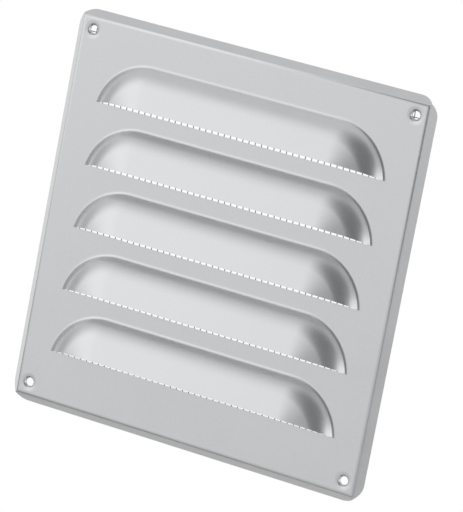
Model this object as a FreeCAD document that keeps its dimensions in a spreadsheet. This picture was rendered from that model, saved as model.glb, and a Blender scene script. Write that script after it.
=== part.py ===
import FreeCAD, Part
import math
import os
import Sketcher

# Louvred sheet metal panel: one pressed steel sheet and the wire mesh that lies behind it.
# Millimetres. X runs along the louvres, Y towards their closed side, Z out of the face.
# The origin is the middle of the plane that the rim stands on.

SIZES = (
    ("panel_width", 200.0, "over the rim, along the louvres"),
    ("panel_length", 200.0, "over the rim, across the louvres"),
    ("sheet", 0.8, "thickness of the steel"),
    ("rim_depth", 3.2, "from the wall plane to the face"),
    ("rim_flare", 4.1, "how far the rim leans out over its depth"),
    ("bend_radius", 2.6, "outside of the bend between face and rim"),
    ("blank_corner", 10.0, "radius that trims the corners of the blank"),
    ("hood_count", 5, "louvres"),
    ("hood_pitch", 31.75, "from one louvre to the next"),
    ("hood_width", 161.0, "from tip to tip along the cut"),
    ("hood_reach", 23.2, "from the cut to the closed side"),
    ("hood_corner", 28.5, "radius of the ends in plan"),
    ("top_margin", 21.0, "from the panel's top edge to the first louvre"),
    ("lip_rise", 8.8, "height of the lip above the face"),
    ("lip_lean", 18.0, "degrees that the lip leans back from upright"),
    ("wall_angle", 48.0, "degrees of the steep wall at the closed side"),
    ("crown_slope", 12.0, "degrees that the crown climbs to the lip"),
    ("crown_radius", 16.0, "outside radius between wall and crown"),
    ("foot_radius", 2.0, "outside radius where the wall leaves the face"),
    ("hole_spacing_x", 180.0, "between screw holes along the louvres"),
    ("hole_spacing_y", 180.0, "between screw holes across the louvres"),
    ("hole_radius", 2.0, "screw hole"),
    ("mouth_radius", 2.9, "countersink at the face"),
    ("cone_angle", 45.0, "degrees of the countersink's wall"),
    ("dimple_radius", 4.0, "where the turned dimple joins the flat sheet"),
    ("dimple_depth", 1.5, "from the face to the underside of the dimple"),
    ("dimple_land", 0.5, "flat ring around the hole, underneath"),
    ("mesh_width", 192.0, "over the outermost wires, along the louvres"),
    ("mesh_length", 175.0, "over the outermost wires, across the louvres"),
    ("mesh_edge", 4.0, "from the panel's top edge to the first wire"),
    ("wire", 0.5, "thickness of a wire"),
    ("weld_sink", 0.1, "how far crossing wires sink into each other"),
    ("upright_count", 11, "wires that run across the louvres"),
    ("level_count", 10, "wires that run along the louvres"),
)

# Places and lengths that follow from the sizes, as expressions.
FOOT = "sizes.foot_radius * tan(sizes.wall_angle / 2 * 1 deg)"
CUT_Y = "(sizes.panel_length / 2 - sizes.top_margin - sizes.hood_reach)"
AXIS_TO_CUT = "(sizes.hood_corner - sizes.hood_reach)"
END_RUN = f"sqrt(sizes.hood_corner ^ 2 - {AXIS_TO_CUT} ^ 2)"
CROWN_LENGTH = f"(sizes.hood_width - 2 * {END_RUN})"
CUT_CLEARANCE = "sizes.sheet"
HOLES_EACH_WAY = 2
FULL_TURN = 360
QUARTER_TURN = 90
SAME_LEVEL = 1e-6

# Directions of the sheet's lines in a section, turned from the sketch's x axis.
LEAN = "90 deg - sizes.lip_lean * 1 deg"
WALL = "180 deg - sizes.wall_angle * 1 deg"
SLOPE = "180 deg - sizes.crown_slope * 1 deg"
CONE = "sizes.cone_angle * 1 deg - 180 deg"

doc = FreeCAD.newDocument("louvred_panel")
sizes = doc.addObject("Spreadsheet::Sheet", "sizes")
for row, (alias, value, meaning) in enumerate(SIZES, start=1):
    sizes.set(f"A{row}", alias)
    sizes.set(f"B{row}", str(value))
    sizes.set(f"C{row}", meaning)
    sizes.setAlias(f"B{row}", alias)
doc.recompute()


def size(alias):
    """The present value of a size, to start a sketch near its solved shape."""
    return float(sizes.get(alias))


def new_body(name):
    body = doc.addObject("PartDesign::Body", name)
    body.Label = name
    return body


def origin_part(body, role):
    """An origin plane or axis of the body, such as XY_Plane or Z_Axis."""
    for feature in body.Origin.OriginFeatures:
        if feature.Role == role:
            return feature
    raise ValueError(role)


def new_sketch(body, name, plane, offset=()):
    """A sketch flat on an origin plane, moved by expressions for its local x, y and z."""
    sketch = body.newObject("Sketcher::SketchObject", name)
    sketch.AttachmentSupport = [(origin_part(body, plane), "")]
    sketch.MapMode = "FlatFace"
    for axis, expression in zip("xyz", offset):
        if expression:
            sketch.setExpression(f"AttachmentOffset.Base.{axis}", expression)
    doc.recompute()
    return sketch


def point(x, y):
    return FreeCAD.Vector(x, y, 0)


def circle(centre, radius):
    return Part.Circle(centre, FreeCAD.Vector(0, 0, 1), radius)


def arc(centre, radius, start, end):
    """An arc that turns left, between two directions in radians."""
    return Part.ArcOfCircle(circle(centre, radius), start, end)


def measured(sketch, kind, where):
    """What a dimension of this kind reads on the sketch as it is drawn so far."""
    if kind == "Radius":
        return sketch.Geometry[where[0]].Radius
    if kind == "Angle":
        line = sketch.Geometry[where[0]]
        run = line.EndPoint - line.StartPoint
        return math.atan2(run.y, run.x)
    run = sketch.getPoint(*where[2:]) - sketch.getPoint(*where[:2])
    return run.x if kind == "DistanceX" else run.y


def dimension(sketch, name, kind, *where, to):
    """A named dimension that starts at the drawn size and follows an expression."""
    index = sketch.addConstraint(Sketcher.Constraint(kind, *where, measured(sketch, kind, where)))
    sketch.renameConstraint(index, name)
    sketch.setExpression(f"Constraints.{name}", to)


def tie(sketch, *constraints):
    for constraint in constraints:
        sketch.addConstraint(Sketcher.Constraint(*constraint))


def closed_path(sketch, corners):
    """Straight lines through the corners and back to the first. Returns the first line."""
    first = sketch.GeometryCount
    count = len(corners)
    for i, corner in enumerate(corners):
        end = corners[(i + 1) % count]
        sketch.addGeometry(Part.LineSegment(point(*corner), point(*end)))
    for i in range(count):
        tie(sketch, ("Coincident", first + i, 2, first + (i + 1) % count, 1))
    return first


def centred_rectangle(sketch, width, length, start=(1, 1)):
    """A rectangle about the sketch's origin. start holds its first half sizes."""
    x, y = start
    low = closed_path(sketch, [(-x, -y), (x, -y), (x, y), (-x, y)])
    tie(
        sketch,
        ("Horizontal", low),
        ("Vertical", low + 1),
        ("Horizontal", low + 2),
        ("Vertical", low + 3),
        ("Symmetric", low, 1, low + 1, 2, -1, 1),
    )
    dimension(sketch, f"width_{low}", "DistanceX", low, 1, low, 2, to=width)
    dimension(sketch, f"length_{low}", "DistanceY", low + 1, 1, low + 1, 2, to=length)


def rounded_rectangle(sketch, width, length, radius, start):
    """A rectangle with round corners. start holds its first half sizes and radius."""
    x, y, r = start
    first = sketch.GeometryCount
    for turn, (side, end) in enumerate(((y, x), (x, y), (y, x), (x, y))):
        angle = turn * math.pi / 2
        across = point(math.sin(angle), -math.cos(angle))
        along = point(math.cos(angle), math.sin(angle))
        centre = across * (side - r) + along * (end - r)
        sketch.addGeometry(
            Part.LineSegment(across * side - along * (end - r), across * side + along * (end - r))
        )
        sketch.addGeometry(arc(centre, r, angle - math.pi / 2, angle))
    for i in range(0, 8, 2):
        line, corner, following = first + i, first + i + 1, first + (i + 2) % 8
        tie(
            sketch,
            ("Tangent", line, 2, corner, 1),
            ("Tangent", corner, 2, following, 1),
            ("Vertical" if i % 4 else "Horizontal", line),
        )
        if i:
            tie(sketch, ("Equal", first + 1, corner))
    tie(sketch, ("Symmetric", first, 1, first + 4, 1, -1, 1))
    dimension(sketch, "corner", "Radius", first + 1, to=radius)
    dimension(sketch, "width", "DistanceX", first + 6, 1, first + 2, 1, to=width)
    dimension(sketch, "length", "DistanceY", first, 1, first + 4, 1, to=length)


def cut_upwards(body, name, sketch):
    """Cuts the sketch's area out of everything above its plane."""
    pocket = body.newObject("PartDesign::Pocket", name)
    pocket.Profile = sketch
    pocket.Type = "ThroughAll"
    pocket.Reversed = True
    doc.recompute()
    return pocket


def level_at(item, z):
    """Whether a face or edge lies wholly at height z."""
    box = item.BoundBox
    return abs(box.ZMin - z) < SAME_LEVEL and abs(box.ZMax - z) < SAME_LEVEL


def faces_at(shape, z):
    return [f"Face{i}" for i, face in enumerate(shape.Faces, start=1) if level_at(face, z)]


def upright_faces(shape):
    return [
        f"Face{i}" for i, face in enumerate(shape.Faces, start=1) if face.BoundBox.ZLength > SAME_LEVEL
    ]


def edges_at(shape, z):
    return [f"Edge{i}" for i, edge in enumerate(shape.Edges, start=1) if level_at(edge, z)]


def add_bend(body, name, base, z, radius):
    """Rounds the four edges between face and rim at height z."""
    bend = body.newObject("PartDesign::Fillet", name)
    bend.Base = (base, edges_at(base.Shape, z))
    bend.setExpression("Radius", radius)
    doc.recompute()
    return bend


def make_tray(body):
    """The face with its rim bent back: a drafted slab, shelled to the sheet, its bends rounded."""
    outline = new_sketch(body, "rim_outline", "XY_Plane")
    half = (size("panel_width") / 2, size("panel_length") / 2)
    centred_rectangle(outline, "sizes.panel_width", "sizes.panel_length", half)
    slab = body.newObject("PartDesign::Pad", "slab")
    slab.Profile = outline
    slab.setExpression("Length", "sizes.rim_depth")
    doc.recompute()

    flare = body.newObject("PartDesign::Draft", "rim_flare")
    flare.Base = (slab, upright_faces(slab.Shape))
    flare.NeutralPlane = (origin_part(body, "XY_Plane"), [""])
    flare.setExpression("Angle", "atan(sizes.rim_flare / sizes.rim_depth)")
    doc.recompute()

    shell = body.newObject("PartDesign::Thickness", "sheet_wall")
    shell.Base = (flare, faces_at(flare.Shape, 0))
    shell.setExpression("Value", "sizes.sheet")
    shell.Reversed = True
    shell.Join = "Intersection"
    doc.recompute()

    outer = add_bend(body, "outer_bend", shell, size("rim_depth"), "sizes.bend_radius")
    inside = size("rim_depth") - size("sheet")
    add_bend(body, "inner_bend", outer, inside, "sizes.bend_radius - sizes.sheet")

    trim = new_sketch(body, "blank_corners", "XY_Plane")
    centred_rectangle(
        trim,
        "sizes.panel_width + 2 * sizes.blank_corner",
        "sizes.panel_length + 2 * sizes.blank_corner",
        (half[0] + size("blank_corner"), half[1] + size("blank_corner")),
    )
    rounded_rectangle(
        trim,
        "sizes.panel_width",
        "sizes.panel_length",
        "sizes.blank_corner",
        (half[0], half[1], size("blank_corner")),
    )
    cut_upwards(body, "corner_trim", trim)


def make_dimples(body):
    """Four screw holes in pressed countersinks: a round cut filled by a turned section."""
    place = ("-sizes.hole_spacing_x / 2", "sizes.hole_spacing_y / 2")
    seat = new_sketch(body, "dimple_seat", "XY_Plane", place)
    seat.addGeometry(circle(point(0, 0), size("dimple_radius")))
    tie(seat, ("Coincident", 0, 3, -1, 1))
    dimension(seat, "edge", "Radius", 0, to="sizes.dimple_radius")
    cut = cut_upwards(body, "dimple_opening", seat)

    section = new_sketch(
        body,
        "dimple_section",
        "XZ_Plane",
        ("-sizes.hole_spacing_x / 2", "sizes.rim_depth", "-sizes.hole_spacing_y / 2"),
    )
    rim, mouth, hole = size("dimple_radius"), size("mouth_radius"), size("hole_radius")
    depth, land = size("dimple_depth"), size("dimple_land")
    slope = math.tan(math.radians(size("cone_angle")))
    throat = (mouth - hole) * slope
    shoulder = hole + land + (depth - size("sheet")) / slope
    closed_path(
        section,
        [
            (rim, 0),
            (mouth, 0),
            (hole, -throat),
            (hole, -depth),
            (hole + land, -depth),
            (shoulder, -size("sheet")),
            (rim, -size("sheet")),
        ],
    )
    tie(
        section,
        ("PointOnObject", 0, 1, -1),
        ("Horizontal", 0),
        ("Vertical", 2),
        ("Horizontal", 3),
        ("Parallel", 1, 4),
        ("Horizontal", 5),
        ("Vertical", 6),
    )
    dimension(section, "edge", "DistanceX", -1, 1, 0, 1, to="sizes.dimple_radius")
    dimension(section, "mouth", "DistanceX", -1, 1, 0, 2, to="sizes.mouth_radius")
    dimension(section, "hole", "DistanceX", -1, 1, 2, 1, to="sizes.hole_radius")
    dimension(section, "depth", "DistanceY", 2, 2, 0, 1, to="sizes.dimple_depth")
    dimension(section, "land", "DistanceX", 3, 1, 3, 2, to="sizes.dimple_land")
    dimension(section, "sheet", "DistanceY", 6, 1, 6, 2, to="sizes.sheet")
    dimension(section, "cone", "Angle", 1, to=CONE)

    dimple = body.newObject("PartDesign::Revolution", "dimple")
    dimple.Profile = section
    dimple.ReferenceAxis = (section, ["V_Axis"])
    dimple.Angle = FULL_TURN
    doc.recompute()

    corners = body.newObject("PartDesign::LinearPattern", "four_dimples")
    corners.Originals = [cut, dimple]
    corners.Direction = (origin_part(body, "X_Axis"), [""])
    corners.Direction2 = (origin_part(body, "Y_Axis"), [""])
    corners.Reversed2 = True
    corners.setExpression("Length", "sizes.hole_spacing_x")
    corners.setExpression("Length2", "sizes.hole_spacing_y")
    corners.Occurrences = HOLES_EACH_WAY
    corners.Occurrences2 = HOLES_EACH_WAY
    body.Tip = corners
    doc.recompute()


def hood_edges():
    """The bent sheet from face to lip, near its solved shape, and the line of the shear.

    Points are measured outwards from the axis of the hood's corner and up from the face.
    """
    sheet, foot, crown = size("sheet"), size("foot_radius"), size("crown_radius")
    wall, slope = math.radians(size("wall_angle")), math.radians(size("crown_slope"))
    lean, rise = math.radians(size("lip_lean")), size("lip_rise")
    outer, cut = size("hood_corner"), size("hood_corner") - size("hood_reach")
    along_wall = point(math.cos(wall), -math.sin(wall))
    along_crown = point(-math.cos(slope), math.sin(slope))
    wall_normal = point(math.sin(wall), math.cos(wall))
    crown_normal = point(math.sin(slope), math.cos(slope))

    # Wall and crown would meet in a knee, which lies this far inside the hood's outline.
    lip = point(cut + rise * math.tan(lean), rise)
    inset = (rise - (outer - lip.x) * math.tan(slope)) / (math.tan(wall) - math.tan(slope))
    knee = point(outer - inset, inset * math.tan(wall))
    crown_start = knee + along_wall * crown * math.tan((wall - slope) / 2)
    crown_centre = crown_start - wall_normal * crown
    crown_end = crown_centre + crown_normal * crown
    foot_centre = point(outer + foot * math.tan(wall / 2), foot)
    foot_end = foot_centre - wall_normal * foot

    # The same points on the inside of the sheet.
    inner_lip = lip - crown_normal * sheet
    inner_crown_start = crown_start - wall_normal * sheet
    inner_crown_end = crown_end - crown_normal * sheet
    inner_foot_end = foot_end - wall_normal * sheet

    crown_turn = (math.pi / 2 - wall, math.pi / 2 - slope)
    foot_turn = (math.pi * 3 / 2 - wall, math.pi * 3 / 2)
    edges = [
        arc(foot_centre, foot, *foot_turn),
        Part.LineSegment(foot_end, crown_start),
        arc(crown_centre, crown, *crown_turn),
        Part.LineSegment(crown_end, lip),
        Part.LineSegment(lip, inner_lip),
        Part.LineSegment(inner_lip, inner_crown_end),
        arc(crown_centre, crown - sheet, *crown_turn),
        Part.LineSegment(inner_crown_start, inner_foot_end),
        arc(foot_centre, foot + sheet, *foot_turn),
        Part.LineSegment(point(foot_centre.x, -sheet), point(foot_centre.x, 0)),
    ]
    return edges, Part.LineSegment(point(cut, 0), lip)


def hood_section(body, name, side):
    """The hood's section at the axis of one corner. side is 1 at the right end, -1 at the left."""
    sketch = new_sketch(
        body,
        name,
        "YZ_Plane",
        (f"{CUT_Y} - {AXIS_TO_CUT}", "sizes.rim_depth", f"{side} * {CROWN_LENGTH} / 2"),
    )
    edges, shear = hood_edges()
    sketch.addGeometry(edges)
    shear_line = sketch.addGeometry(shear, True)
    tie(
        sketch,
        ("Tangent", 0, 1, 1, 1),
        ("Tangent", 1, 2, 2, 1),
        ("Tangent", 2, 2, 3, 1),
        ("Coincident", 3, 2, 4, 1),
        ("Coincident", 4, 2, 5, 1),
        ("Tangent", 5, 2, 6, 2),
        ("Tangent", 6, 1, 7, 1),
        ("Tangent", 7, 2, 8, 1),
        ("Coincident", 8, 2, 9, 1),
        ("Coincident", 9, 2, 0, 2),
        ("Coincident", 2, 3, 6, 3),
        ("Coincident", 0, 3, 8, 3),
        ("Parallel", 3, 5),
        ("Vertical", 0, 3, 0, 2),
        ("Vertical", 9),
        ("PointOnObject", 0, 2, -1),
        ("PointOnObject", shear_line, 1, -1),
        ("Coincident", shear_line, 2, 3, 2),
        ("PointOnObject", 4, 2, shear_line),
    )
    dimension(sketch, "foot", "Radius", 0, to="sizes.foot_radius")
    dimension(sketch, "crown", "Radius", 2, to="sizes.crown_radius")
    dimension(sketch, "crown_inside", "Radius", 6, to="sizes.crown_radius - sizes.sheet")
    dimension(sketch, "sheet", "DistanceY", 9, 1, 9, 2, to="sizes.sheet")
    dimension(sketch, "outline", "DistanceX", -1, 1, 0, 2, to=f"sizes.hood_corner + {FOOT}")
    dimension(sketch, "cut", "DistanceX", -1, 1, shear_line, 1, to=AXIS_TO_CUT)
    dimension(sketch, "rise", "DistanceY", -1, 1, 3, 2, to="sizes.lip_rise")
    dimension(sketch, "lean", "Angle", shear_line, to=LEAN)
    dimension(sketch, "wall", "Angle", 1, to=WALL)
    dimension(sketch, "slope", "Angle", 3, to=SLOPE)
    doc.recompute()
    return sketch


def turned_end(body, name, section, reversed_turn):
    end = body.newObject("PartDesign::Revolution", name)
    end.Profile = section
    end.ReferenceAxis = (section, ["V_Axis"])
    end.Angle = QUARTER_TURN
    end.Reversed = reversed_turn
    doc.recompute()
    return end


def cut_window(body):
    """The opening in the face under the first hood: a straight cut and one arc at each end."""
    plan = new_sketch(body, "window_outline", "XY_Plane", ("", f"{CUT_Y} - {AXIS_TO_CUT}"))
    cut = size("hood_corner") - size("hood_reach")
    run = math.sqrt(size("hood_corner") ** 2 - cut**2)
    straight = size("hood_width") / 2 - run
    foot = size("foot_radius") * math.tan(math.radians(size("wall_angle")) / 2)
    radius = size("hood_corner") + foot
    tip = math.acos(cut / radius)
    tip_x = straight + radius * math.sin(tip)
    upward = math.pi / 2
    plan.addGeometry(
        [
            Part.LineSegment(point(-tip_x, cut), point(tip_x, cut)),
            arc(point(straight, 0), radius, upward - tip, upward),
            Part.LineSegment(point(straight, radius), point(-straight, radius)),
            arc(point(-straight, 0), radius, upward, upward + tip),
        ]
    )
    tie(
        plan,
        ("Coincident", 0, 2, 1, 1),
        ("Tangent", 1, 2, 2, 1),
        ("Tangent", 2, 2, 3, 1),
        ("Coincident", 3, 2, 0, 1),
        ("Horizontal", 0),
        ("Equal", 1, 3),
        ("PointOnObject", 1, 3, -1),
        ("Symmetric", 1, 3, 3, 3, -2),
    )
    dimension(plan, "corner", "Radius", 1, to=f"sizes.hood_corner + {FOOT}")
    dimension(plan, "cut", "DistanceY", -1, 1, 0, 1, to=AXIS_TO_CUT)
    dimension(plan, "straight", "DistanceX", 3, 3, 1, 3, to=CROWN_LENGTH)
    return cut_upwards(body, "window", plan)


def trim_lip(body):
    """Takes off what the turned ends have in front of the leaning plane of the shear."""
    wedge = new_sketch(body, "lip_cut", "YZ_Plane", (CUT_Y, "sizes.rim_depth"))
    height = size("lip_rise") + size("sheet")
    lean = height * math.tan(math.radians(size("lip_lean")))
    front = size("hood_reach") - size("hood_corner") - size("sheet")
    closed_path(wedge, [(0, 0), (lean, height), (front, height), (front, 0)])
    tie(
        wedge,
        ("Coincident", 0, 1, -1, 1),
        ("Horizontal", 1),
        ("Vertical", 2),
        ("Horizontal", 3),
    )
    dimension(wedge, "height", "DistanceY", 2, 2, 2, 1, to=f"sizes.lip_rise + {CUT_CLEARANCE}")
    dimension(wedge, "front", "DistanceX", 3, 1, 3, 2, to=f"{AXIS_TO_CUT} + {CUT_CLEARANCE}")
    dimension(wedge, "lean", "Angle", 0, to=LEAN)
    trim = body.newObject("PartDesign::Pocket", "lip_trim")
    trim.Profile = wedge
    trim.SideType = "Symmetric"
    trim.setExpression("Length", "sizes.panel_width")
    doc.recompute()
    return trim


def make_hoods(body):
    """Louvres lanced and pressed out of the face: one is modelled, then repeated."""
    window = cut_window(body)
    right_section = hood_section(body, "right_section", 1)
    crown = body.newObject("PartDesign::Pad", "crown")
    crown.Profile = right_section
    crown.setExpression("Length", CROWN_LENGTH)
    crown.Reversed = True
    doc.recompute()
    right_end = turned_end(body, "right_end", right_section, True)
    left_section = hood_section(body, "left_section", -1)
    left_end = turned_end(body, "left_end", left_section, False)
    lip_trim = trim_lip(body)

    louvres = body.newObject("PartDesign::LinearPattern", "louvres")
    louvres.Originals = [window, crown, right_end, left_end, lip_trim]
    louvres.Direction = (origin_part(body, "Y_Axis"), [""])
    louvres.Reversed = True
    louvres.Mode = "Spacing"
    louvres.setExpression("Offset", "sizes.hood_pitch")
    louvres.setExpression("Occurrences", "sizes.hood_count")
    body.Tip = louvres
    doc.recompute()


def add_wire(body, name, width, length, place):
    """One square wire lying flat: its plan as expressions, and the middle of its underside."""
    outline = new_sketch(body, f"{name}_outline", "XY_Plane", place)
    centred_rectangle(outline, width, length)
    wire = body.newObject("PartDesign::Pad", name)
    wire.Profile = outline
    wire.setExpression("Length", "sizes.wire")
    doc.recompute()
    return wire


def repeat_wire(body, name, wire, axis, length, count):
    row_of_wires = body.newObject("PartDesign::LinearPattern", name)
    row_of_wires.Originals = [wire]
    row_of_wires.Direction = (origin_part(body, axis), [""])
    row_of_wires.setExpression("Length", length)
    row_of_wires.setExpression("Occurrences", count)
    body.Tip = row_of_wires
    doc.recompute()


def make_mesh(body):
    """Welded wires behind the louvres, uprights in front, against the upper dimples."""
    front = "sizes.rim_depth - sizes.dimple_depth"
    top = "sizes.panel_length / 2 - sizes.mesh_edge"
    upright = add_wire(
        body,
        "upright_wire",
        "sizes.wire",
        "sizes.mesh_length",
        (
            "(sizes.wire - sizes.mesh_width) / 2",
            f"{top} - sizes.mesh_length / 2",
            f"{front} - sizes.wire",
        ),
    )
    level = add_wire(
        body,
        "level_wire",
        "sizes.mesh_width",
        "sizes.wire",
        (
            "",
            f"{top} - sizes.mesh_length + sizes.wire / 2",
            f"{front} - 2 * sizes.wire + sizes.weld_sink",
        ),
    )
    repeat_wire(
        body, "uprights", upright, "X_Axis", "sizes.mesh_width - sizes.wire", "sizes.upright_count"
    )
    repeat_wire(
        body, "levels", level, "Y_Axis", "sizes.mesh_length - sizes.wire", "sizes.level_count"
    )


def check_document():
    for item in doc.Objects:
        if {"Invalid", "Error"} & set(item.State):
            raise RuntimeError(f"{item.Name} failed: {item.State}")


def write_parts(bodies):
    os.makedirs("parts", exist_ok=True)
    for body in bodies:
        shape = body.Shape
        if shape.isNull() or not shape.isValid():
            raise RuntimeError(f"{body.Label} has no valid shape")
        shape.exportStep(os.path.join("parts", f"{body.Label}.step"))
        print(f"{body.Label}: {len(shape.Solids)} solid, {shape.Volume:.0f} mm3")


panel = new_body("louvred_panel")
make_tray(panel)
make_dimples(panel)
make_hoods(panel)
wire_mesh = new_body("wire_mesh")
make_mesh(wire_mesh)
doc.recompute()
check_document()
write_parts([panel, wire_mesh])
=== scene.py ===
# %% [markdown]
# # A louvred sheet metal panel
# The object is a wall vent pressed out of one sheet of galvanised steel. Five louvres are sheared
# along one side and drawn up into hoods, the rim is bent back all round, and a welded insect mesh
# lies behind. This lesson dresses the measured model: it makes a finely rounded sheet and the real
# close mesh, gives both a zinc finish, and lights them as a studio would.

# %% Start from the measured frame
import bpy
import bmesh
import math
from mathutils import Matrix, Vector


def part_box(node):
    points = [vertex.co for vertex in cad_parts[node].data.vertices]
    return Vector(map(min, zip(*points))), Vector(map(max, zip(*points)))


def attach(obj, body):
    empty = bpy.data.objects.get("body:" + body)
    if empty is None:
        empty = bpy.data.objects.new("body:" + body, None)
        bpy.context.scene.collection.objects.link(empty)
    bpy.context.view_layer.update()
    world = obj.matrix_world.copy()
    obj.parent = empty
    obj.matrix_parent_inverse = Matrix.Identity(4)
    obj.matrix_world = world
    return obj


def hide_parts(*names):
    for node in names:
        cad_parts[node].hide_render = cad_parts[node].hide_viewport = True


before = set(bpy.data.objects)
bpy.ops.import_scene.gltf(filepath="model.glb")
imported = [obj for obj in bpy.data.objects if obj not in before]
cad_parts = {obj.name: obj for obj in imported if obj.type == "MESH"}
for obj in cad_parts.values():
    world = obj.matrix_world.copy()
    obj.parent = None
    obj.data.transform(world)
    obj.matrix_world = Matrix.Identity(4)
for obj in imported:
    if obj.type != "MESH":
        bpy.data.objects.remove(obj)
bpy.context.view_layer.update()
panel_low, panel_high = (Vector(corner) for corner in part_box("louvred_panel"))
mesh_low, mesh_high = (Vector(corner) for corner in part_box("wire_mesh"))
print("panel", panel_low[:], panel_high[:])
print("mesh", mesh_low[:], mesh_high[:])

# %% [markdown]
# ## The sizes of the pressing
# All lengths are in metres. The sheet is modelled as the skin that shows from the front. It gets
# its thickness at the end, so every bend keeps one even wall, as a pressed sheet does.

# %% Name the sizes
SHEET = 0.0008
FACE = 0.0032
RIM_FLARE = 0.0041
BEND_RADIUS = 0.0026
BLANK_CORNER = 0.010

HOODS = 5
HOOD_PITCH = 0.03175
HOOD_WIDTH = 0.161
HOOD_REACH = 0.0232
HOOD_CORNER = 0.0285
TOP_MARGIN = 0.021
LIP_RISE = panel_high.z - FACE
LIP_LEAN = math.radians(18)
WALL_ANGLE = math.radians(48)
CROWN_SLOPE = math.radians(12)
CROWN_RADIUS = 0.016
FOOT_RADIUS = 0.002

HOLE_SPACING = 0.180
HOLE_RADIUS = 0.002
MOUTH_RADIUS = 0.0029
DISH_RADIUS = 0.0046
DISH_DROP = 0.00015
DIMPLE_DEPTH = 0.0015
CONE_ANGLE = math.radians(45)

AXIS_TO_CUT = HOOD_CORNER - HOOD_REACH
CROWN_LENGTH = HOOD_WIDTH - 2 * math.sqrt(HOOD_CORNER**2 - AXIS_TO_CUT**2)
FIRST_CUT = panel_high.y - TOP_MARGIN - HOOD_REACH
print("straight part of a hood", round(CROWN_LENGTH, 4))

# %% [markdown]
# ## Small helpers for mesh work
# A crease is rounded by a bevel whose offset follows from the radius and the angle that the sheet
# turns through. Edges are found by where they lie. Each skin is turned so that it faces the front.

# %% Helpers for folding sheet
TIGHT = 1e-6
SEAM = 2e-6
LOOSE = 1e-5
SNAP = 1e-7


def polyline(bm, points):
    """Joins points into a chain of loose edges and returns the chain."""
    verts = [bm.verts.new(point) for point in points]
    edges = [bm.edges.new(pair) for pair in zip(verts, verts[1:])]
    return verts + edges


def round_crease(bm, edges, radius, turn, segments):
    """Rounds a fold that turns by an angle to a radius."""
    bmesh.ops.bevel(
        bm, geom=edges, offset=radius * math.tan(turn / 2), offset_type="OFFSET",
        segments=segments, profile=0.5, affect="EDGES", material=-1, clamp_overlap=False,
    )


def edges_where(bm, test):
    """Edges whose two ends both pass a test on their place."""
    return [edge for edge in bm.edges if all(test(vert.co) for vert in edge.verts)]


def near(a, b, tolerance=TIGHT):
    return abs(a - b) < tolerance


def trim(bm, place, outward, snap=SNAP):
    """Cuts the mesh with a plane and drops what lies outside."""
    bmesh.ops.bisect_plane(
        bm, geom=bm.verts[:] + bm.edges[:] + bm.faces[:], dist=snap,
        plane_co=place, plane_no=outward, clear_outer=True,
    )


def face_front(bm):
    """Gives all faces one direction, with the skin's outside towards the viewer's side."""
    bmesh.ops.recalc_face_normals(bm, faces=bm.faces)
    if sum(face.normal.z * face.calc_area() for face in bm.faces) < 0:
        bmesh.ops.reverse_faces(bm, faces=bm.faces)


def keep_as_mesh(bm, name):
    print(name, "faces", len(bm.faces))
    mesh = bpy.data.meshes.new(name)
    bm.to_mesh(mesh)
    bm.free()
    return mesh


# %% [markdown]
# ## One hood
# A press tool draws the hood over a rounded block, so its section is the same along the back and
# round both ends. The section is three straight runs: the flat, the steep wall and the long crown.
# It is spun a quarter turn round each corner, drawn straight between them, and then the two creases
# are rounded. The slanting plane of the shear takes off what lies in front of the lip.

# %% Draw a hood
FLANGE = 0.0014
END_STEPS = 30
CROWN_STEPS = 24
CROWN_SEGMENTS = 10
FOOT_SEGMENTS = 6
END_X = CROWN_LENGTH / 2
LIP_Y = AXIS_TO_CUT + LIP_RISE * math.tan(LIP_LEAN)
KNEE_INSET = (LIP_RISE - (HOOD_CORNER - LIP_Y) * math.tan(CROWN_SLOPE)) / (
    math.tan(WALL_ANGLE) - math.tan(CROWN_SLOPE)
)
KNEE = HOOD_CORNER - KNEE_INSET


def distance_from_corner(co):
    """How far a point lies from the axis of the hood's corner, or from its straight line."""
    beyond = max(abs(co.x) - END_X, 0)
    return math.hypot(beyond, co.y)


def crease_at(bm, distance):
    return edges_where(bm, lambda co: near(distance_from_corner(co), distance, LOOSE))


def draw_straight(bm, chain):
    """Draws a chain of edges from one corner axis to the other. Returns the chain's last place."""
    for _ in range(CROWN_STEPS):
        drawn = bmesh.ops.extrude_edge_only(bm, edges=chain)["geom"]
        verts = [item for item in drawn if isinstance(item, bmesh.types.BMVert)]
        bmesh.ops.translate(bm, verts=verts, vec=(-CROWN_LENGTH / CROWN_STEPS, 0, 0))
        chain = [item for item in drawn if isinstance(item, bmesh.types.BMEdge)]
        chain = [edge for edge in chain if all(vert in verts for vert in edge.verts)]
    return chain


def make_hood():
    """The skin of a hood. Its origin lies on the line through both corner axes, on the face."""
    bm = bmesh.new()
    over = LIP_RISE + (LIP_Y - AXIS_TO_CUT) * math.tan(CROWN_SLOPE)
    section = polyline(
        bm,
        [
            (END_X, HOOD_CORNER + FLANGE, 0),
            (END_X, HOOD_CORNER, 0),
            (END_X, KNEE, KNEE_INSET * math.tan(WALL_ANGLE)),
            (END_X, AXIS_TO_CUT, over),
        ],
    )
    turn = dict(axis=(0, 0, 1), steps=END_STEPS)
    bmesh.ops.spin(bm, geom=section, cent=(END_X, 0, 0), angle=-math.pi / 2, **turn)
    start = [item for item in section if isinstance(item, bmesh.types.BMEdge)]
    chain = draw_straight(bm, start)
    far_verts = dict.fromkeys(vert for edge in chain for vert in edge.verts)
    far_end = list(far_verts) + chain
    bmesh.ops.spin(bm, geom=far_end, cent=(-END_X, 0, 0), angle=math.pi / 2, **turn)

    round_crease(
        bm, crease_at(bm, KNEE), CROWN_RADIUS, WALL_ANGLE - CROWN_SLOPE, CROWN_SEGMENTS
    )
    round_crease(bm, crease_at(bm, HOOD_CORNER), FOOT_RADIUS, WALL_ANGLE, FOOT_SEGMENTS)
    shear = (0, -math.cos(LIP_LEAN), math.sin(LIP_LEAN))
    trim(bm, (0, AXIS_TO_CUT, 0), shear, snap=0)
    face_front(bm)
    return bm


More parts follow.
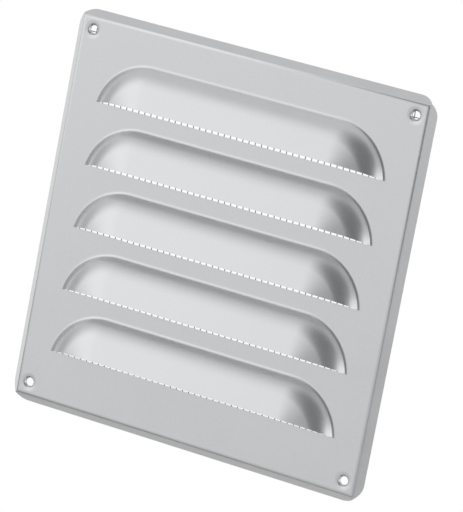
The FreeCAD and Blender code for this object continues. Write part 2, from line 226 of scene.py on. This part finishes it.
hood_mesh = keep_as_mesh(make_hood(), "hood")

# %% [markdown]
# ## One screw hole
# The hole is pressed into a small countersink with a shallow dish round it. It is turned like a
# bowl: a short profile spun once round the screw's axis, with its three rings rounded.

# %% Turn a dimple
DISH_FLAT = 0.00025
HOLE_STEPS = 48
THROAT = DISH_DROP + MOUTH_RADIUS - HOLE_RADIUS
DISH_TURN = math.atan2(DISH_DROP, DISH_RADIUS - MOUTH_RADIUS)
# Each ring: its radius and height, the radius and angle of its rounding, and its segments.
RINGS = (
    (DISH_RADIUS, 0, 0.005, DISH_TURN, 3),
    (MOUTH_RADIUS, -DISH_DROP, 0.0009, CONE_ANGLE - DISH_TURN, 5),
    (HOLE_RADIUS, -THROAT, 0.0003, CONE_ANGLE, 3),
)


def ring(bm, radius, z):
    return edges_where(
        bm, lambda co: near(math.hypot(co.x, co.y), radius, LOOSE) and near(co.z, z)
    )


def make_dimple():
    bm = bmesh.new()
    profile = polyline(
        bm,
        [
            (DISH_RADIUS + DISH_FLAT, 0, 0),
            (DISH_RADIUS, 0, 0),
            (MOUTH_RADIUS, 0, -DISH_DROP),
            (HOLE_RADIUS, 0, -THROAT),
            (HOLE_RADIUS, 0, -DIMPLE_DEPTH),
        ],
    )
    bmesh.ops.spin(
        bm, geom=profile, cent=(0, 0, 0), axis=(0, 0, 1), angle=2 * math.pi,
        steps=HOLE_STEPS, use_merge=True,
    )
    bmesh.ops.remove_doubles(bm, verts=bm.verts, dist=TIGHT)
    for radius, z, rounding, turn, segments in RINGS:
        round_crease(bm, ring(bm, radius, z), rounding, turn, segments)
    face_front(bm)
    return bm


dimple_mesh = keep_as_mesh(make_dimple(), "dimple")

# %% [markdown]
# ## The whole sheet
# The blank starts as one square face at the height of the rim's edge. It is inset in steps and
# raised along the bend, which leaves the rim behind it. The corners of the blank are trimmed round
# in plan, so the rim fades to almost nothing there. Hoods and dimples are set in place, and the
# flat between them is filled in one go.

# %% Fold the rim
BEND_STEPS = 6
CORNER_STEPS = 12


def rim_section():
    """Places along the rim from its edge to the flat, each as a half width and a height."""
    turn = math.atan2(FACE, RIM_FLARE)
    tangent = BEND_RADIUS * math.tan(turn / 2)
    half = panel_high.x
    bend = half - RIM_FLARE
    yield half + SHEET, -FACE - SHEET * math.tan(turn)
    for step in range(BEND_STEPS + 1):
        angle = turn * (1 - step / BEND_STEPS)
        across = bend - tangent + BEND_RADIUS * math.sin(angle)
        yield across, BEND_RADIUS * (math.cos(angle) - 1)


def fold_blank(bm):
    """The square rim and its bend, with sharp mitred corners and no flat."""
    places = list(rim_section())
    bmesh.ops.create_grid(bm, x_segments=1, y_segments=1, size=places[0][0])
    blank = bm.faces[:]
    bmesh.ops.translate(bm, verts=bm.verts, vec=(0, 0, places[0][1]))
    for (outer, low), (inner, high) in zip(places, places[1:]):
        bmesh.ops.inset_individual(
            bm, faces=blank, thickness=outer - inner, use_even_offset=True
        )
        bmesh.ops.translate(bm, verts=blank[0].verts, vec=(0, 0, high - low))
    bmesh.ops.delete(bm, geom=blank, context="FACES_ONLY")


def trim_blank(bm):
    """Takes off the blank's corners along an arc in plan, and what the rim has too much."""
    centre = panel_high.x - BLANK_CORNER
    for step in range(4 * CORNER_STEPS):
        angle = math.radians(90 * (step + 0.5) / CORNER_STEPS)
        out = Vector((math.cos(angle), math.sin(angle), 0))
        corner = Vector((math.copysign(centre, out.x), math.copysign(centre, out.y), 0))
        trim(bm, corner + out * BLANK_CORNER, out)
    for side in ((1, 0, 0), (-1, 0, 0), (0, 1, 0), (0, -1, 0)):
        trim(bm, Vector(side) * (panel_high.x + SHEET), side)


# %% Fill the flat between the features
SLIT = 0.00006
CUT_STEPS = 40


def slit_tips(bm, cut_y):
    """The two points where a lip comes down to the flat, left and right."""
    tips = [
        vert for vert in bm.verts
        if near(vert.co.z, 0) and near(vert.co.y, cut_y, SEAM) and vert.is_boundary
        and any(not near(edge.other_vert(vert).co.z, 0) for edge in vert.link_edges)
    ]
    tips.sort(key=lambda vert: vert.co.x)
    return tips[0], tips[-1]


def open_slit(bm, cut_y):
    """Adds the sheared edge of the flat, from tip to tip, a hair's breadth in front of the lip."""
    edge = bm.edges.new(slit_tips(bm, cut_y))
    cut = bmesh.ops.subdivide_edges(bm, edges=[edge], cuts=CUT_STEPS)["geom_inner"]
    for vert in cut:
        if isinstance(vert, bmesh.types.BMVert):
            vert.co.y -= SLIT


def place_copy(bm, mesh, x, y):
    """Adds a copy of a mesh, moved by x and y."""
    present = set(bm.verts)
    bm.from_mesh(mesh)
    added = [vert for vert in bm.verts if vert not in present]
    bmesh.ops.translate(bm, verts=added, vec=(x, y, 0))


def make_sheet():
    bm = bmesh.new()
    fold_blank(bm)
    trim_blank(bm)
    for x in (-HOLE_SPACING / 2, HOLE_SPACING / 2):
        for y in (-HOLE_SPACING / 2, HOLE_SPACING / 2):
            place_copy(bm, dimple_mesh, x, y)
    for index in range(HOODS):
        cut_y = FIRST_CUT - index * HOOD_PITCH
        place_copy(bm, hood_mesh, 0, cut_y - AXIS_TO_CUT)
        open_slit(bm, cut_y)
    flat_edges = [
        edge for edge in bm.edges
        if len(edge.link_faces) < 2 and all(near(vert.co.z, 0, SEAM) for vert in edge.verts)
    ]
    bmesh.ops.triangle_fill(bm, edges=flat_edges, use_beauty=True, normal=(0, 0, 1))
    print("edges round the flat", len(flat_edges))
    return bm


def give_thickness(bm):
    """Makes the skin a sheet of even wall and cuts the rim level with the wall plane."""
    face_front(bm)
    bmesh.ops.solidify(bm, geom=bm.faces[:], thickness=SHEET)
    trim(bm, (0, 0, -FACE), (0, 0, -1))
    open_edges = [edge for edge in bm.edges if edge.is_boundary]
    print("open edges at the wall plane", len(open_edges))
    bmesh.ops.triangle_fill(bm, edges=open_edges, use_beauty=True, normal=(0, 0, -1))


sheet = make_sheet()
give_thickness(sheet)
bmesh.ops.translate(sheet, verts=sheet.verts, vec=(0, 0, FACE))
print("sheet open edges", sum(not edge.is_manifold for edge in sheet.edges))


def finished_object(bm, name, node, smooth_angle):
    """Turns a bmesh into an object that stands for a measured node."""
    mesh = keep_as_mesh(bm, name)
    piece = bpy.data.objects.new(name, mesh)
    bpy.context.scene.collection.objects.link(piece)
    mesh.shade_smooth()
    mesh.set_sharp_from_angle(angle=smooth_angle)
    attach(piece, "root")
    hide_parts(node)
    return piece


SHEET_SMOOTH = math.radians(35)
pressed_sheet = finished_object(sheet, "pressed_sheet", "louvred_panel", SHEET_SMOOTH)

# %% [markdown]
# ## The insect mesh
# Round galvanised wires are welded where they cross, uprights in front. There are over a hundred
# wires, so each is a plain twelve-sided rod, and the two layers sink into each other a little at
# the welds.

# %% Lay the wires
UPRIGHTS = 56
LEVELS = 51
WIRE_SIDES = 12
WIRE = 0.0005
WIRE_SMOOTH = math.radians(50)


def lay_wires(bm, count, length, spread, across, height):
    """Rods of one layer. They run along Y and spread along X, or the other way if across."""
    turned = Matrix.Rotation(math.pi / 2, 3, "Y" if across else "X")
    for index in range(count):
        made = bmesh.ops.create_cone(
            bm, cap_ends=True, segments=WIRE_SIDES, radius1=WIRE / 2, radius2=WIRE / 2,
            depth=length,
        )["verts"]
        offset = -spread / 2 + spread * index / (count - 1)
        bmesh.ops.rotate(bm, verts=made, matrix=turned)
        place = (0, offset, height) if across else (offset, 0, height)
        bmesh.ops.translate(bm, verts=made, vec=place)


def make_mesh():
    bm = bmesh.new()
    size = mesh_high - mesh_low
    lay_wires(bm, UPRIGHTS, size.y, size.x - WIRE, False, mesh_high.z - WIRE / 2)
    lay_wires(bm, LEVELS, size.x, size.y - WIRE, True, mesh_low.z + WIRE / 2)
    centre = (mesh_high + mesh_low) / 2
    bmesh.ops.translate(bm, verts=bm.verts, vec=(centre.x, centre.y, 0))
    return bm


insect_mesh = finished_object(make_mesh(), "insect_mesh", "wire_mesh", WIRE_SMOOTH)

# %% [markdown]
# ## Shader expressions
# A small class lets shader maths be written as Python expressions.

# %% Wrap shader sockets
class Graph:
    """A material's nodes, with one method that adds any node."""

    def __init__(self, name):
        self.material = bpy.data.materials.new(name)
        self.material.use_nodes = True
        self.tree = self.material.node_tree
        self.shader = self.tree.nodes["Principled BSDF"]

    def add(self, kind, settings=None, output=0, **inputs):
        node = self.tree.nodes.new(kind)
        for key, value in (settings or {}).items():
            setattr(node, key, value)
        for key, value in inputs.items():
            where = int(key[1:]) if key[1:].isdigit() else key.replace("_", " ")
            self.feed(node.inputs[where], value)
        return Socket(self, node.outputs[output])

    def feed(self, socket, value):
        if isinstance(value, Socket):
            self.tree.links.new(value.socket, socket)
        else:
            socket.default_value = value

    def set(self, **inputs):
        for key, value in inputs.items():
            self.feed(self.shader.inputs[key.replace("_", " ")], value)


class Socket:
    """A number that flows through the shader. Arithmetic on it adds Math nodes."""

    def __init__(self, graph, socket):
        self.graph = graph
        self.socket = socket

    def math(self, operation, first, second):
        return self.graph.add("ShaderNodeMath", {"operation": operation}, _0=first, _1=second)

    def __add__(self, other):
        return self.math("ADD", self, other)

    def __radd__(self, other):
        return self.math("ADD", other, self)

    def __sub__(self, other):
        return self.math("SUBTRACT", self, other)

    def __rsub__(self, other):
        return self.math("SUBTRACT", other, self)

    def __mul__(self, other):
        return self.math("MULTIPLY", self, other)

    def __rmul__(self, other):
        return self.math("MULTIPLY", other, self)


# %% [markdown]
# ## The zinc finish
# Hot-dip zinc on thin sheet looks soft grey: cloudy patches some centimetres wide, a fine grain,
# and a sheen that is neither polished nor chalky.

# %% Make the zinc
CLOUD_SCALE = 35.0
GRAIN_SCALE = 1400.0
TONE_SWING = 0.10
SHEEN = 0.33
CLOUD_SHEEN = 0.12
GRAIN_SHEEN = 0.10


def noise(graph, where, scale, detail):
    return graph.add(
        "ShaderNodeTexNoise", Vector=where, Scale=scale, Detail=detail, Roughness=0.6
    )


def make_zinc(name, tone):
    graph = Graph(name)
    where = graph.add("ShaderNodeTexCoord", output=3)
    clouds = noise(graph, where, CLOUD_SCALE, 4.0)
    grain = noise(graph, where, GRAIN_SCALE, 2.0)
    value = tone + (clouds - 0.5) * TONE_SWING + (grain - 0.5) * TONE_SWING
    colour = graph.add(
        "ShaderNodeCombineColor", Red=value * 0.985, Green=value * 0.995, Blue=value
    )
    graph.set(
        Base_Color=colour,
        Metallic=1.0,
        Roughness=SHEEN + (clouds - 0.5) * CLOUD_SHEEN + (grain - 0.5) * GRAIN_SHEEN,
        Normal=graph.add("ShaderNodeBump", Height=grain, Strength=0.10, Distance=0.0002),
    )
    return graph.material


def finish(piece, material_name, tone):
    piece.data.materials.append(make_zinc(material_name, tone))


finish(pressed_sheet, "zinc_sheet", 0.72)
# The wire's zinc gets half the sheet's tone. This darkening is painted shade for the shadow the
# mesh lies in behind the sheet.
finish(insect_mesh, "zinc_wire_painted_shade", 0.36)

# %% [markdown]
# ## Floor and light
# A pale floor under the panel, and a room of soft light round it. The floor shows plain white to
# the camera and still lights the metal softly. The room is a world that varies only with
# direction: a broad grey, brightened where softboxes stand and darkened where nothing does.

# %% Lay the floor
FLOOR_HALF = 3.0
FLOOR_PAINT = (0.8, 0.8, 0.8, 1)


def make_floor():
    graph = Graph("floor")
    path = graph.add("ShaderNodeLightPath")
    rays = path.socket.node.outputs
    seen = Socket(graph, rays["Is Camera Ray"]) + Socket(graph, rays["Is Glossy Ray"])
    seen = seen + Socket(graph, rays["Is Transmission Ray"])
    graph.set(Base_Color=FLOOR_PAINT, Roughness=0.9)
    white = graph.add("ShaderNodeEmission", Color=(1, 1, 1, 1), Strength=1.0)
    mix = graph.add("ShaderNodeMixShader", _0=seen)
    graph.tree.links.new(graph.shader.outputs[0], mix.socket.node.inputs[1])
    graph.tree.links.new(white.socket, mix.socket.node.inputs[2])
    graph.tree.links.new(mix.socket, graph.tree.nodes["Material Output"].inputs["Surface"])

    bm = bmesh.new()
    bmesh.ops.create_grid(bm, x_segments=1, y_segments=1, size=FLOOR_HALF)
    mesh = keep_as_mesh(bm, "floor")
    floor = bpy.data.objects.new("floor", mesh)
    bpy.context.scene.collection.objects.link(floor)
    mesh.materials.append(graph.material)


make_floor()

# %% Light the room
ROOM = 0.70
COOLNESS = 1.01
# Each patch of light: where it stands, its inner and outer half angles, and what it adds.
PATCHES = (
    ((-0.55, 0.28, 0.79), 12, 34, 0.55),
    ((0.25, 0.42, 0.87), 24, 44, -0.52),
    ((0.62, -0.30, 0.73), 10, 26, -0.40),
    ((0.86, 0.06, 0.50), 7, 18, 0.95),
    ((-0.30, -0.95, 0.10), 25, 55, -0.50),
    ((-0.97, -0.10, 0.12), 15, 40, -0.25),
)


class Room(Graph):
    """The world's nodes, with the same helpers as a material's."""

    def __init__(self, name):
        self.world = bpy.data.worlds.new(name)
        self.world.use_nodes = True
        self.tree = self.world.node_tree
        self.shader = self.tree.nodes["Background"]


def light_room():
    room = Room("room")
    toward = room.add("ShaderNodeTexCoord", output=0)
    level = ROOM
    for place, inner, outer, change in PATCHES:
        facing = room.add(
            "ShaderNodeVectorMath", {"operation": "DOT_PRODUCT"}, output=1,
            _0=toward, _1=Vector(place).normalized(),
        )
        level = level + room.add(
            "ShaderNodeMapRange", {"interpolation_type": "SMOOTHSTEP"}, Value=facing,
            From_Min=math.cos(math.radians(outer)), From_Max=math.cos(math.radians(inner)),
            To_Min=0.0, To_Max=change,
        )
    colour = room.add(
        "ShaderNodeCombineColor", Red=level, Green=level, Blue=level * COOLNESS
    )
    room.set(Color=colour)
    bpy.context.scene.world = room.world


light_room()

# %% [markdown]
# ## Camera
# The camera looks down on the face from above its right side, through a long lens, so the square
# leans and narrows only a little. It is placed by the direction back from its aim.

# %% Place the camera
CAMERA_AIM = Vector((0.0083, 0.0004, FACE))
CAMERA_BACK = Vector((0.450185, 0.184056, 0.87376)).normalized()
CAMERA_RIGHT = Vector((0.857392, 0.184231, -0.48056))
CAMERA_DISTANCE = 2.0138
CAMERA_LENS = 292.9

camera_data = bpy.data.cameras.new("camera")
camera_data.lens = CAMERA_LENS
camera_data.sensor_width = 36
camera_data.clip_end = 10
camera = bpy.data.objects.new("camera", camera_data)
bpy.context.scene.collection.objects.link(camera)
right = (CAMERA_RIGHT - CAMERA_BACK * CAMERA_RIGHT.dot(CAMERA_BACK)).normalized()
up = CAMERA_BACK.cross(right)
turned = Matrix((right, up, CAMERA_BACK)).transposed()
stand = Matrix.Translation(CAMERA_AIM + CAMERA_BACK * CAMERA_DISTANCE)
camera.matrix_world = stand @ turned.to_4x4()
bpy.context.scene.camera = camera
bpy.context.scene.view_settings.view_transform = "Standard"
